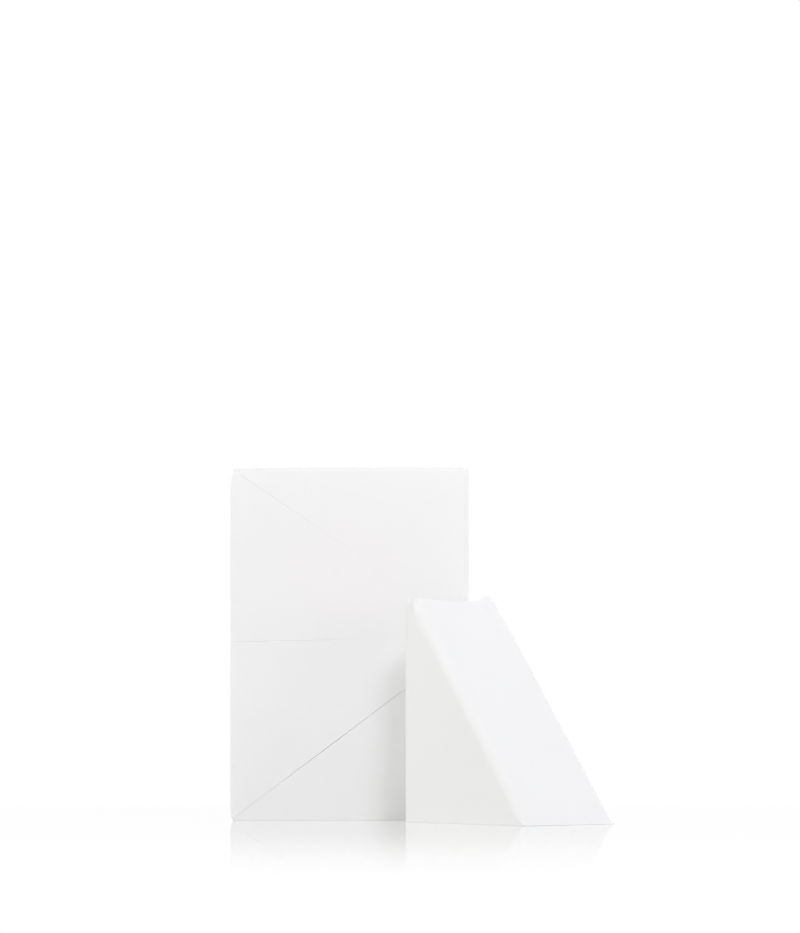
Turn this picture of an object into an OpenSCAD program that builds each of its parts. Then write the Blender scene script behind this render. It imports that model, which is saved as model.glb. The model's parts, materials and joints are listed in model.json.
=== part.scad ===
// A block of white cosmetic foam, cut into four wedges that stay stacked as two tiers,
// and a fifth wedge that stands by itself in front of the block's right edge.
// Millimetres, +Z up, front towards -Y, origin at the centre of the block's base.

/* [Block] */
// Width of the block, left to right
block_w = 54; // [40:0.5:70]
// Thickness of every wedge, front to back
foam_d = 26; // [18:0.5:40]
// Height of the lower tier, halfway along the block
lower_h = 41; // [30:0.5:55]
// Height of the upper tier, halfway along the block
upper_h = 39; // [30:0.5:55]
// Radius of the foam's outer edges
edge_r = 1.2; // [0.4:0.1:2.5]

/* [Cuts] */
// Gap that each cut leaves between two wedges
cut_gap = 0.3; // [0.1:0.05:0.8]
// How much higher the cut between the tiers is at its right end
seam_rise = 1.3; // [0:0.1:4]
// Distance left between two cuts at a wedge's thin end
thin_end = 1.1; // [0.7:0.1:3]

/* [Loose wedge] */
// Height of the loose wedge's upright face
loose_tall = 50.2; // [35:0.1:70]
// Length of the base that the loose wedge stands on
loose_base = 42.7; // [28:0.1:60]
// Depth of the hollow along the loose wedge's thin top edge
tip_sag = 0.8; // [0.2:0.1:3]
// Angle that the loose wedge is turned to the block's front
loose_turn = 38.5; // [20:0.5:60]
// Distance along the upright face from its left side to the block's front right edge
edge_reach = 18.5; // [10:0.5:25]
// Clearance between the upright face and the block's front right edge
stand_gap = 0.4; // [0.2:0.1:3]

/* [Hidden] */
$fn = 64;

foam_white = [0.95, 0.95, 0.94];
block_h = lower_h + upper_h;
// Longer than anything here, for cutters that have to run past the foam
far = 2 * (block_w + foam_d + block_h + loose_tall + loose_base);

// Ends of the cuts on the block's front, as [x, z]
bottom_left = [-block_w / 2, 0];
top_left = [-block_w / 2, block_h];
seam_left = [-block_w / 2, lower_h - seam_rise / 2];
seam_right = [block_w / 2, lower_h + seam_rise / 2];
lower_cut = [bottom_left, seam_right - [0, thin_end]];
seam_cut = [seam_left, seam_right];
upper_cut = [top_left, seam_right + [0, thin_end]];

// Axis of the round on the block's front right edge, as [x, y], which the loose wedge stands against
edge_axis = [block_w / 2 - edge_r, edge_r - foam_d / 2];
slope_angle = atan2(loose_tall, loose_base - thin_end);
tip_hollow_r = (pow(foam_d / 2, 2) + pow(tip_sag, 2)) / (2 * tip_sag);

// A rectangle from the origin with round corners
module rounded_rect(size, r) {
    translate([r, 0]) square([size.x - 2 * r, size.y]);
    translate([0, r]) square([size.x, size.y - 2 * r]);
    for (x = [r, size.x - r], y = [r, size.y - r]) translate([x, y]) circle(r);
}

// A box from the origin with every edge rounded
module rounded_box(size, r) {
    intersection() {
        linear_extrude(size.z) rounded_rect([size.x, size.y], r);
        rotate([90, 0, 90]) linear_extrude(size.x) rounded_rect([size.y, size.z], r);
        translate([0, size.y, 0]) rotate([90, 0, 0]) linear_extrude(size.y) rounded_rect([size.x, size.z], r);
    }
}

// The whole block, before it is cut
module foam_block() {
    translate([-block_w / 2, -foam_d / 2, 0]) rounded_box([block_w, foam_d, block_h], edge_r);
}

// Everything on one side of a cut, half its gap away: side 1 is above the cut and -1 below it
module beside(cut, side) {
    run = cut[1] - cut[0];
    translate([cut[0].x, 0, cut[0].y]) rotate([0, -atan2(run.y, run.x), 0])
        translate([0, 0, side * (cut_gap + far) / 2]) cube([2 * far, far, far], center = true);
}

// Everything under the loose wedge's slope, with the slope's two long edges rounded
module under_slope() {
    translate([0, -loose_base, 0]) rotate([slope_angle, 0, 0])
        rotate([90, 0, 0]) translate([0, -far, 0])
        linear_extrude(2 * far, center = true) rounded_rect([foam_d, far], edge_r);
}

// What is missing along the loose wedge's thin top edge
module tip_hollow() {
    translate([foam_d / 2, 0, loose_tall - tip_sag + tip_hollow_r])
        rotate([90, 0, 0]) cylinder(h = 2 * loose_base, r = tip_hollow_r, center = true, $fn = 180);
}

module lower_right_wedge() {
    color(foam_white) intersection() {
        foam_block();
        beside(lower_cut, -1);
    }
}

module lower_left_wedge() {
    color(foam_white) intersection() {
        foam_block();
        beside(lower_cut, 1);
        beside(seam_cut, -1);
    }
}

module upper_left_wedge() {
    color(foam_white) intersection() {
        foam_block();
        beside(seam_cut, 1);
        beside(upper_cut, -1);
    }
}

module upper_right_wedge() {
    color(foam_white) intersection() {
        foam_block();
        beside(upper_cut, 1);
    }
}

// Stands on its short side, with its upright face against the block's front right edge
module loose_wedge() {
    color(foam_white)
        translate(edge_axis) rotate(loose_turn) translate([-edge_reach, -(edge_r + stand_gap), 0])
        difference() {
            intersection() {
                translate([0, -loose_base, 0]) rounded_box([foam_d, loose_base, loose_tall], edge_r);
                under_slope();
            }
            tip_hollow();
        }
}

lower_right_wedge();
lower_left_wedge();
upper_left_wedge();
upper_right_wedge();
loose_wedge();
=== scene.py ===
"""A block of white cosmetic foam cut into wedges, and a loose wedge in front of its right edge.

Metres, +Z up, the front towards -Y. Each wedge is a dense foam mesh in the place of its plain solid.
"""

import json
import math
from typing import NamedTuple

import bpy
import numpy as np
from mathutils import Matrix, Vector, noise

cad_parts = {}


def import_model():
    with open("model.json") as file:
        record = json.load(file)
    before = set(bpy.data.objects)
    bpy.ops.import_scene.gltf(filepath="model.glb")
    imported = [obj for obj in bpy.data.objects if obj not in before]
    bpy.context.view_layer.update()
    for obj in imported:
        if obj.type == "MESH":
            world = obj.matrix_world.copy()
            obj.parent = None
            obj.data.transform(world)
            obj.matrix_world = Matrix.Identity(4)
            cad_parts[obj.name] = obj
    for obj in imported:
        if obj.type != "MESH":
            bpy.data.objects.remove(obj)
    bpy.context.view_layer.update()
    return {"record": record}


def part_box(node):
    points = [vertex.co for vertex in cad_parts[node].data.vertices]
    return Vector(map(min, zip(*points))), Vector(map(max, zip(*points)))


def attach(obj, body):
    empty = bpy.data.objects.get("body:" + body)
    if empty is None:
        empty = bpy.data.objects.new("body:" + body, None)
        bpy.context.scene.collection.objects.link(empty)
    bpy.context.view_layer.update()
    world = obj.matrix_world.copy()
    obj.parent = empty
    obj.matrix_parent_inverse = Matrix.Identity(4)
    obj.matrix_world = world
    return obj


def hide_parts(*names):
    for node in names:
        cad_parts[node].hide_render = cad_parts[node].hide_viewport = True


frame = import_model()

MM = 0.001


class Cut(NamedTuple):
    """A cut through the block. Both hold pairs: a share of its length from the left, and a size."""

    gape: tuple  # how far apart its two faces are
    lip: tuple  # the radius of its edges


class Softbox(NamedTuple):
    """A square lamp that faces the object."""

    name: str
    azimuth: float  # degrees from the camera's side to its right
    elevation: float  # degrees
    away: float  # its distance
    width: float  # per distance
    light: float  # what it adds to a white surface that faces it, where 1 is white
    colour: tuple


# The block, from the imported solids, where its tiers meet, and the blunt thin end of each wedge
HALF_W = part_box("lower_right_wedge")[1].x
HALF_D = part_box("lower_right_wedge")[1].y
BLOCK_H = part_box("upper_right_wedge")[1].z
SEAM_MIDDLE = 41 * MM
SEAM_RISE = 1.3 * MM
THIN_END = 1.1 * MM
# Its edges are round, and this much of the rounding is left on the floor and on the left side
EDGE_R = 0.9 * MM
FOOT_R = 0.24 * MM
LEFT_R = 0.4 * MM

# The cuts
SHARP_RIM = 0.003 * MM
CLOSED = 0.002 * MM
LOWER_CUT = Cut(
    gape=(
        (0, 0.02 * MM), (0.15, 0.022 * MM), (0.3, 0.052 * MM),
        (0.44, 0.07 * MM), (0.52, 0.052 * MM), (1, 0.035 * MM),
    ),
    lip=((0, SHARP_RIM), (1, SHARP_RIM)),
)
SEAM = Cut(
    gape=((0, CLOSED), (1, CLOSED)),
    lip=(
        (0, 0.1 * MM), (0.08, 0.13 * MM), (0.33, 0.125 * MM), (0.42, 0.1 * MM),
        (0.5, 0.08 * MM), (0.56, SHARP_RIM), (1, SHARP_RIM),
    ),
)
UPPER_CUT = Cut(
    gape=((0, CLOSED), (1, CLOSED)),
    lip=(
        (0, 0.09 * MM), (0.3, 0.085 * MM), (0.42, 0.055 * MM),
        (0.6, SHARP_RIM), (1, SHARP_RIM),
    ),
)

# The block's top left corner is pressed in and down, and its lower left edge pressed in
TOP_PINCH_IN = 0.75 * MM
TOP_PINCH_REACH = 2.2 * MM
TOP_PINCH_DOWN = 0.3 * MM
FOOT_PINCH_IN = 0.7 * MM
FOOT_PINCH_REACH = 0.8 * MM
PINCH_SPREAD = 9 * MM
# The front and back slope off towards the block's left side and towards its top
LEFT_SINK = 0.17 * MM
LEFT_SINK_REACH = 3.4 * MM
LEFT_SINK_POWER = 2
TOP_SINK = 0.3 * MM
TOP_SINK_REACH = 9 * MM
TOP_SINK_POWER = 3

# The loose wedge
LOOSE_TALL = 50.2 * MM
LOOSE_BASE = 42.7 * MM
LOOSE_TURN = math.radians(38.5 - 90)
SLOPE_EDGE_R = 1.9 * MM
# The slope is twisted: towards its top, it lies further out on the side by the block
SLOPE_TWIST = 2.4 * MM
# The wedge is a little thicker towards its free side
FREE_SIDE_OUT = 0.4 * MM
# Its thin top edge: pairs of a share of its length, from the block's side to the free side, and a height
TIP_LINE = ((0, 0.1 * MM), (0.4, -0.5 * MM), (0.76, -0.5 * MM), (0.92, 0.72 * MM), (1, 0.1 * MM))
# It curls back from this share of its length on, and both die out below it by this power of the height
TIP_CURL = 1.5 * MM
TIP_CURL_FROM = 0.7
TIP_POWER = 12

# Mesh: steps widen from the edges inwards, and the last one may be longer by this factor
FINE_STEP = 0.06 * MM
COARSE_STEP = 0.55 * MM
STEP_GROWTH = 1.3
LAST_STEP = 1.5
# Rings round each rim, a close one inside them, and over how many points the rim's radius is evened out
RIM_RINGS = 5
RIM_HOLD = 0.02 * MM
RIM_BLUR = 7

# Waviness of the foam as wavelength and height, with a seed, without which it would differ each run
WAVES = ((16 * MM, 0.06 * MM), (5 * MM, 0.014 * MM), (1.7 * MM, 0.005 * MM))
WAVE_SEED = 1
# The waves die out towards the floor, so that the foam stands flat
STILL_BELOW = 3 * MM

# Foam: its cells, its larger pores and its patches of tone, each across
CELL = 0.28 * MM
PORE = 1.1 * MM
PATCH = 14 * MM
PATCH_DETAIL = 4
# A pore's rise from its floor to its rim, as distances from its middle, and the painted shade that darkens
# its floor
PORE_RISE = (0.08, 0.24)
PORE_FLOOR_SHADE = 0.985
# Roughness in the middle of a cell and at its wall, and the distance between the two
CELL_ROUGHNESS = (0.97, 0.86)
CELL_WALL = 0.8
FOAM_SHEEN = 0.2
BUMP_STRENGTH = 0.3
BUMP_DEPTH = 0.03 * MM
# The two tones that its patches run between
TONES = ((0.91, 0.91, 0.91, 1), (0.927, 0.927, 0.927, 1))
# A pink tint of the light painted on the middle of the upper tier: its colour, and how far it reaches, in
# full and at all
PAINTED_LIGHT_TINT = (1, 0.983, 0.992, 1)
PAINTED_TINT_MIDDLE = (-2 * MM, 0, 57 * MM)
PAINTED_TINT_REACH = (14 * MM, 34 * MM)

# The floor: its half width, how far it lies below the foam, its colour, how much of a mirror it is
# beside the object and where that fades out, and how plainly white the camera sees it there and far off
FLOOR_REACH = 3.0
FLOOR_BELOW = 0.005 * MM
FLOOR_COLOUR = (0.75, 0.75, 0.75, 1)
FLOOR_MIDDLE = (15 * MM, -20 * MM, 0)
FLOOR_GLOSS = 0.84
FLOOR_ROUGHNESS = 0.01
GLOSS_FADE = (50 * MM, 365 * MM)
FLOOR_WHITE = (0.86, 1)
WHITE_FADE = (60 * MM, 220 * MM)

# The photograph's frame, in pixels, and where the camera stands
IMAGE_H = 933
PIXELS_PER_M = 4410
IMAGE_MIDDLE_X = 11.45 * MM
CAMERA_AWAY = 1.45
CAMERA_UP = 40 * MM
CAMERA_SENSOR = 36
HORIZON_BELOW_MIDDLE = 177.35

# Light: what comes from all round, and the lamps, which all aim at one place
ALL_ROUND_LIGHT = 0.405
LAMP_AIM = Vector((15 * MM, -20 * MM, 35 * MM))
FAR = 1.1
WIDE = 0.42
LAMPS = (
    Softbox("key", 24.7, 55, 0.4, 0.23, 0.312, (0.95, 0.955, 1)),
    Softbox("left", -45, 10, FAR, WIDE, 0.31, (1, 0.992, 0.951)),
    Softbox("left_side", -75, 10, FAR, WIDE, 0.044, (1, 1, 0.996)),
    Softbox("right", 65, 10, FAR, WIDE, 0.112, (0.993, 0.987, 1)),
    Softbox("right_side", 100, 10, FAR, WIDE, 0.228, (0.987, 0.987, 1)),
    Softbox("back", 180, 40, FAR, WIDE, 0.34, (1, 1, 1)),
)


def smoothstep(low, high, x):
    t = np.clip((x - low) / (high - low), 0, 1)
    return t * t * (3 - 2 * t)


def eased(x, pairs):
    """A curve through pairs of x and y that is level at each of them."""
    y = np.full_like(x, pairs[0][1])
    for (low, before), (high, after) in zip(pairs, pairs[1:]):
        y += (after - before) * smoothstep(low, high, x)
    return y


def spaced(length):
    """Distances from 0 to less than length, in steps that widen."""
    distances = [0]
    step = FINE_STEP
    while distances[-1] + LAST_STEP * step < length:
        distances.append(distances[-1] + step)
        step = min(step * STEP_GROWTH, COARSE_STEP)
    return np.array(distances)


def spaced_both_ways(length):
    """Shares from 0 to less than 1 of a length, in steps that widen from both ends."""
    half = spaced(length / 2) / length
    return np.concatenate([half, [0.5], 1 - half[:0:-1]])


def side(start, end, cut):
    """One side of an anticlockwise outline: points drawn in by half the cut's gape, and the lip there."""
    run = np.subtract(end, start)
    length = math.hypot(*run)
    t = spaced_both_ways(length)
    points = start + np.outer(t, run)
    if not cut:
        return points, np.full(len(t), SHARP_RIM)
    share = t if run[0] > 0 else 1 - t
    inward = np.array((-run[1], run[0])) / length
    points += np.outer(np.interp(share, *zip(*cut.gape)) / 2, inward)
    return points, np.interp(share, *zip(*cut.lip))


def incircle(a, b, c):
    """Centre and radius of the largest circle in a triangle."""
    a, b, c = np.array((a, b, c))
    lengths = [math.dist(b, c), math.dist(c, a), math.dist(a, b)]
    around = sum(lengths)
    area = abs((b - a)[0] * (c - a)[1] - (b - a)[1] * (c - a)[0]) / 2
    return (a * lengths[0] + b * lengths[1] + c * lengths[2]) / around, 2 * area / around


def wedge_mesh(corners, cuts, rims):
    """Points and faces of a wedge with its outline in X and Z, and its thickness along Y about 0.

    Each side has its cut or None, and the least radius of its rim.
    """
    ends = corners[1:] + corners[:1]
    sides = [side(start, end, cut) for start, end, cut in zip(corners, ends, cuts)]
    outline = np.concatenate([points for points, lip in sides])
    rim = np.concatenate([np.maximum(lip, least) for (_, lip), least in zip(sides, rims)])
    past = RIM_BLUR // 2
    rim = np.concatenate([rim[-past:], rim, rim[:past]])
    rim = np.convolve(rim, np.ones(RIM_BLUR) / RIM_BLUR, "valid")
    middle, inset_most = incircle(corners[0], corners[1], corners[-1])

    rings = []
    hold = rim + RIM_HOLD
    for inset in spaced(inset_most)[:0:-1]:
        drawn_in = hold + (inset_most - hold) * inset / inset_most
        rings.append((drawn_in, np.full(len(rim), -HALF_D)))
    rings.append((hold, np.full(len(rim), -HALF_D)))
    for angle in np.linspace(0, math.pi / 2, RIM_RINGS):
        rings.append((rim * (1 - math.sin(angle)), -HALF_D + rim * (1 - math.cos(angle))))
    front = list(rings)
    for share in spaced_both_ways(2 * HALF_D)[1:]:
        rings.append((np.zeros(len(rim)), (HALF_D - rim) * (2 * share - 1)))
    rings += [(inset, -depth) for inset, depth in reversed(front)]

    points = [np.array([[middle[0], -HALF_D, middle[1]]])]
    for inset, depth in rings:
        flat = outline + (middle - outline) * (inset / inset_most)[:, None]
        points.append(np.column_stack((flat[:, 0], depth, flat[:, 1])))
    points.append(np.array([[middle[0], HALF_D, middle[1]]]))
    points = np.concatenate(points)

    n = len(outline)
    last = len(points) - 1
    pairs = [(i, (i + 1) % n) for i in range(n)]
    faces = [(0, 1 + i, 1 + j) for i, j in pairs]
    for k in range(len(rings) - 1):
        inner = 1 + k * n
        outer = inner + n
        faces += [(inner + i, outer + i, outer + j, inner + j) for i, j in pairs]
    rear = last - n
    faces += [(last, rear + j, rear + i) for i, j in pairs]
    return points, faces


def rounded_into(points, low, high, left_r):
    """Points outside a box with round edges move onto its surface. Its lower and left edges are crisper."""
    low = np.array(low) + (left_r - EDGE_R, 0, FOOT_R - EDGE_R)
    core = np.clip(points, low + EDGE_R, np.subtract(high, EDGE_R))
    out = points - core
    away = np.linalg.norm(out, axis=1, keepdims=True)
    return np.where(away > EDGE_R, core + out * EDGE_R / np.maximum(away, EDGE_R), points)


def thinned(points, sink):
    """Front and back sink in by a distance for each point, and what lies between them follows."""
    points[:, 1] *= 1 - sink / HALF_D
    return points


def pressed(points):
    """The block as handled: left corners pressed in, front and back sloping off to the left and top."""
    from_left = points[:, 0] + HALF_W
    from_top = BLOCK_H - points[:, 2]
    near_left = 1 - smoothstep(0, PINCH_SPREAD, from_left)
    near_top = 1 - smoothstep(0, PINCH_SPREAD, from_top)
    pinch = TOP_PINCH_IN * np.exp(-from_top / TOP_PINCH_REACH)
    pinch += FOOT_PINCH_IN * np.exp(-points[:, 2] / FOOT_PINCH_REACH)
    points[:, 0] += pinch * near_left
    points[:, 2] -= TOP_PINCH_DOWN * np.exp(-from_left / PINCH_SPREAD) * near_top
    sink = LEFT_SINK * np.clip(1 - from_left / LEFT_SINK_REACH, 0, 1) ** LEFT_SINK_POWER
    sink += TOP_SINK * np.clip(1 - from_top / TOP_SINK_REACH, 0, 1) ** TOP_SINK_POWER
    return thinned(points, sink)


def wavy(points):
    """The foam's slight unevenness, one field for all of it, so that faces that meet still meet."""
    noise.seed_set(WAVE_SEED)
    wave = np.zeros_like(points)
    for wavelength, height in WAVES:
        wave += [height * noise.noise_vector(Vector(p / wavelength)) for p in points]
    wave[:, 2] *= smoothstep(0, STILL_BELOW, points[:, 2])
    return points + wave


def on_floor(points):
    points[:, 2] = np.maximum(points[:, 2], 0)
    return points


def foam_piece(name, points, faces, body, material):
    mesh = bpy.data.meshes.new(name)
    mesh.from_pydata(points.tolist(), [], faces)
    mesh.polygons.foreach_set("use_smooth", [True] * len(faces))
    mesh.materials.append(material)
    piece = bpy.data.objects.new(name, mesh)
    bpy.context.scene.collection.objects.link(piece)
    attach(piece, body)
    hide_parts(body + "_wedge")
    return piece


def block_wedges(material):
    """The four wedges of the block. Each has its corners, and the cut or None along each side."""
    bottom_left, bottom_right = (-HALF_W, 0), (HALF_W, 0)
    top_left, top_right = (-HALF_W, BLOCK_H), (HALF_W, BLOCK_H)
    seam_left = (-HALF_W, SEAM_MIDDLE - SEAM_RISE / 2)
    seam_right = (HALF_W, SEAM_MIDDLE + SEAM_RISE / 2)
    under_seam = (HALF_W, seam_right[1] - THIN_END)
    over_seam = (HALF_W, seam_right[1] + THIN_END)
    wedges = {
        "lower_right": (
            (bottom_left, bottom_right, under_seam),
            (None, None, LOWER_CUT),
        ),
        "lower_left": (
            (bottom_left, under_seam, seam_right, seam_left),
            (LOWER_CUT, None, SEAM, None),
        ),
        "upper_left": (
            (seam_left, seam_right, over_seam, top_left),
            (SEAM, None, UPPER_CUT, None),
        ),
        "upper_right": (
            (over_seam, top_right, top_left),
            (None, None, UPPER_CUT),
        ),
    }
    low = (-HALF_W, -HALF_D, 0)
    high = (HALF_W, HALF_D, BLOCK_H)
    for body, (corners, cuts) in wedges.items():
        points, faces = wedge_mesh(corners, cuts, rims=(0,) * len(corners))
        points = rounded_into(points, low, high, LEFT_R)
        points = on_floor(wavy(pressed(points)))
        foam_piece(body + "_foam", points, faces, body, material)


def handled(points):
    """The loose wedge as cut and handled: a twisted slope, and a thin edge that curls at its free end."""
    u, t, w = points.T
    across = (t + HALF_D) / (2 * HALF_D)
    up = np.clip(w / LOOSE_TALL, 0, 1)
    thickness = LOOSE_BASE - (LOOSE_BASE - THIN_END) * up
    twist = SLOPE_TWIST * (1 - across) * np.sqrt(up) / thickness
    lift = eased(across, TIP_LINE) * up**TIP_POWER
    curl = TIP_CURL * smoothstep(TIP_CURL_FROM, 1, across) * up**TIP_POWER
    aside = FREE_SIDE_OUT * across - curl
    return np.column_stack((u * (1 + twist), t + aside, w + lift))


def loose_wedge(material):
    """The wedge that stands by itself on its short side."""
    mounts = {mount["name"]: mount["pos_m"] for mount in frame["record"]["mounts"]}
    corners = ((0, 0), (LOOSE_BASE, 0), (THIN_END, LOOSE_TALL), (0, LOOSE_TALL))
    points, faces = wedge_mesh(corners, (None,) * 4, rims=(0, SLOPE_EDGE_R, 0, 0))
    low = (0, -HALF_D, 0)
    high = (LOOSE_BASE, HALF_D, LOOSE_TALL)
    points = rounded_into(points, low, high, EDGE_R)
    points = handled(points) - (LOOSE_BASE / 2, 0, 0)
    cos, sin = math.cos(LOOSE_TURN), math.sin(LOOSE_TURN)
    turn = np.array(((cos, sin, 0), (-sin, cos, 0), (0, 0, 1)))
    points = on_floor(wavy(points @ turn + mounts["loose_wedge_base"]))
    foam_piece("loose_foam", points, faces, "loose", material)


def foam_material():
    """Matt white foam: fine open cells, some larger pores with painted shade on their floors, faint patches
    of tone and a painted pink tint of the light on the upper tier.
    """
    material = bpy.data.materials.new("foam")
    material.use_nodes = True
    nodes = material.node_tree.nodes
    link = material.node_tree.links.new
    shader = nodes["Principled BSDF"]
    shader.inputs["Specular IOR Level"].default_value = FOAM_SHEEN
    place = nodes.new("ShaderNodeTexCoord").outputs["Object"]

    def voronoi(across):
        node = nodes.new("ShaderNodeTexVoronoi")
        node.inputs["Scale"].default_value = 1 / across
        link(place, node.inputs["Vector"])
        return node.outputs["Distance"]

    def ranged(value, from_low, from_high, to_low, to_high):
        node = nodes.new("ShaderNodeMapRange")
        node.inputs["From Min"].default_value = from_low
        node.inputs["From Max"].default_value = from_high
        node.inputs["To Min"].default_value = to_low
        node.inputs["To Max"].default_value = to_high
        link(value, node.inputs["Value"])
        return node.outputs["Result"]

    cells = voronoi(CELL)
    pores = ranged(voronoi(PORE), *PORE_RISE, 0, 1)

    patches = nodes.new("ShaderNodeTexNoise")
    patches.inputs["Scale"].default_value = 1 / PATCH
    patches.inputs["Detail"].default_value = PATCH_DETAIL
    link(place, patches.inputs["Vector"])
    tone = nodes.new("ShaderNodeMix")
    tone.data_type = "RGBA"
    tone.inputs["A"].default_value, tone.inputs["B"].default_value = TONES
    link(patches.outputs["Fac"], tone.inputs["Factor"])
    # Painted pink tint of the light, strongest round the middle of the upper tier and fading out with
    # distance from it
    away = nodes.new("ShaderNodeVectorMath")
    away.operation = "DISTANCE"
    away.inputs[1].default_value = PAINTED_TINT_MIDDLE
    link(place, away.inputs[0])
    painted_tint = nodes.new("ShaderNodeMix")
    painted_tint.data_type = "RGBA"
    painted_tint.blend_type = "MULTIPLY"
    painted_tint.inputs["B"].default_value = PAINTED_LIGHT_TINT
    link(ranged(away.outputs["Value"], *PAINTED_TINT_REACH, 1, 0), painted_tint.inputs["Factor"])
    link(tone.outputs["Result"], painted_tint.inputs["A"])
    # Painted shade: the floors of the larger pores are darkened
    pore_shaded = nodes.new("ShaderNodeMix")
    pore_shaded.data_type = "RGBA"
    pore_shaded.blend_type = "MULTIPLY"
    pore_shaded.inputs["Factor"].default_value = 1
    link(painted_tint.outputs["Result"], pore_shaded.inputs["A"])
    link(ranged(pores, 0, 1, PORE_FLOOR_SHADE, 1), pore_shaded.inputs["B"])
    link(pore_shaded.outputs["Result"], shader.inputs["Base Color"])
    link(ranged(cells, 0, CELL_WALL, *CELL_ROUGHNESS), shader.inputs["Roughness"])

    def bump(height, normal=None):
        node = nodes.new("ShaderNodeBump")
        node.inputs["Strength"].default_value = BUMP_STRENGTH
        node.inputs["Distance"].default_value = BUMP_DEPTH
        link(height, node.inputs["Height"])
        if normal:
            link(normal, node.inputs["Normal"])
        return node.outputs["Normal"]

    link(bump(cells, normal=bump(pores)), shader.inputs["Normal"])
    return material


def floor_material():
    """Pale and slightly glossy round the object, and plain white further off, as the camera sees it."""
    material = bpy.data.materials.new("floor")
    material.use_nodes = True
    nodes = material.node_tree.nodes
    link = material.node_tree.links.new
    nodes.clear()

    geometry = nodes.new("ShaderNodeNewGeometry")
    away = nodes.new("ShaderNodeVectorMath")
    away.operation = "DISTANCE"
    away.inputs[1].default_value = FLOOR_MIDDLE
    link(geometry.outputs["Position"], away.inputs[0])
    path = nodes.new("ShaderNodeLightPath")

    def faded(start, end, low, high):
        node = nodes.new("ShaderNodeMapRange")
        node.interpolation_type = "SMOOTHSTEP"
        node.inputs["From Min"].default_value = start
        node.inputs["From Max"].default_value = end
        node.inputs["To Min"].default_value = low
        node.inputs["To Max"].default_value = high
        link(away.outputs["Value"], node.inputs["Value"])
        return node.outputs["Result"]

    def maths(operation, first, second):
        node = nodes.new("ShaderNodeMath")
        node.operation = operation
        link(first, node.inputs[0])
        link(second, node.inputs[1])
        return node.outputs[0]

    def mixed(factor, first, second):
        node = nodes.new("ShaderNodeMixShader")
        link(factor, node.inputs[0])
        link(first, node.inputs[1])
        link(second, node.inputs[2])
        return node.outputs[0]

    matt = nodes.new("ShaderNodeBsdfDiffuse")
    matt.inputs["Color"].default_value = FLOOR_COLOUR
    gloss = nodes.new("ShaderNodeBsdfGlossy")
    gloss.inputs["Color"].default_value = (1, 1, 1, 1)
    gloss.inputs["Roughness"].default_value = FLOOR_ROUGHNESS
    white = nodes.new("ShaderNodeEmission")
    fresnel = nodes.new("ShaderNodeFresnel")

    mirror = maths("MULTIPLY", fresnel.outputs[0], faded(*GLOSS_FADE, FLOOR_GLOSS, 0))
    mirror = maths("MULTIPLY", mirror, path.outputs["Is Camera Ray"])
    seen = maths("MAXIMUM", path.outputs["Is Camera Ray"], path.outputs["Is Glossy Ray"])
    seen = maths("MAXIMUM", seen, path.outputs["Is Transmission Ray"])
    plain = maths("MULTIPLY", seen, faded(*WHITE_FADE, *FLOOR_WHITE))

    pale = mixed(plain, matt.outputs[0], white.outputs[0])
    output = nodes.new("ShaderNodeOutputMaterial")
    link(mixed(mirror, pale, gloss.outputs[0]), output.inputs["Surface"])
    return material


def floor(material):
    mesh = bpy.data.meshes.new("floor")
    turns = ((-1, -1), (1, -1), (1, 1), (-1, 1))
    corners = [(FLOOR_REACH * x, FLOOR_REACH * y, 0) for x, y in turns]
    mesh.from_pydata(corners, [], [(0, 1, 2, 3)])
    mesh.materials.append(material)
    piece = bpy.data.objects.new("floor", mesh)
    piece.location.z = -FLOOR_BELOW
    bpy.context.scene.collection.objects.link(piece)


def camera():
    data = bpy.data.cameras.new("camera")
    data.sensor_width = CAMERA_SENSOR
    data.lens = CAMERA_SENSOR * CAMERA_AWAY * PIXELS_PER_M / IMAGE_H
    eye = bpy.data.objects.new("camera", data)
    eye.location = (IMAGE_MIDDLE_X, -HALF_D - CAMERA_AWAY, CAMERA_UP)
    tilt = math.atan(HORIZON_BELOW_MIDDLE / (PIXELS_PER_M * CAMERA_AWAY))
    eye.rotation_euler = (math.pi / 2 + tilt, 0, 0)
    bpy.context.scene.collection.objects.link(eye)
    bpy.context.scene.camera = eye


def lamps():
    for box in LAMPS:
        data = bpy.data.lights.new(box.name, "AREA")
        data.size = box.width * box.away
        data.energy = box.light * (math.pi * box.away) ** 2
        data.color = box.colour
        lamp = bpy.data.objects.new(box.name, data)
        turn = math.radians(box.azimuth)
        rise = math.radians(box.elevation)
        level = math.cos(rise)
        out = Vector((math.sin(turn) * level, -math.cos(turn) * level, math.sin(rise)))
        lamp.location = LAMP_AIM + out * box.away
        lamp.rotation_euler = out.to_track_quat("Z", "Y").to_euler()
        lamp.visible_camera = False
        bpy.context.scene.collection.objects.link(lamp)


def world():
    """White behind everything that the camera sees, and a plain pale light from all round."""
    scene_world = bpy.data.worlds.new("world")
    bpy.context.scene.world = scene_world
    scene_world.use_nodes = True
    nodes = scene_world.node_tree.nodes
    link = scene_world.node_tree.links.new
    background = nodes["Background"]
    background.inputs["Color"].default_value = (1, 1, 1, 1)
    path = nodes.new("ShaderNodeLightPath")
    seen = path.outputs["Is Camera Ray"]
    for kind in ("Is Glossy Ray", "Is Transmission Ray"):
        either = nodes.new("ShaderNodeMath")
        either.operation = "MAXIMUM"
        link(seen, either.inputs[0])
        link(path.outputs[kind], either.inputs[1])
        seen = either.outputs[0]
    strength = nodes.new("ShaderNodeMapRange")
    strength.inputs["To Min"].default_value = ALL_ROUND_LIGHT
    strength.inputs["To Max"].default_value = 1.0
    link(seen, strength.inputs["Value"])
    link(strength.outputs["Result"], background.inputs["Strength"])


foam = foam_material()
block_wedges(foam)
loose_wedge(foam)
floor(floor_material())
camera()
world()
lamps()

bpy.context.scene.view_settings.view_transform = "Standard"
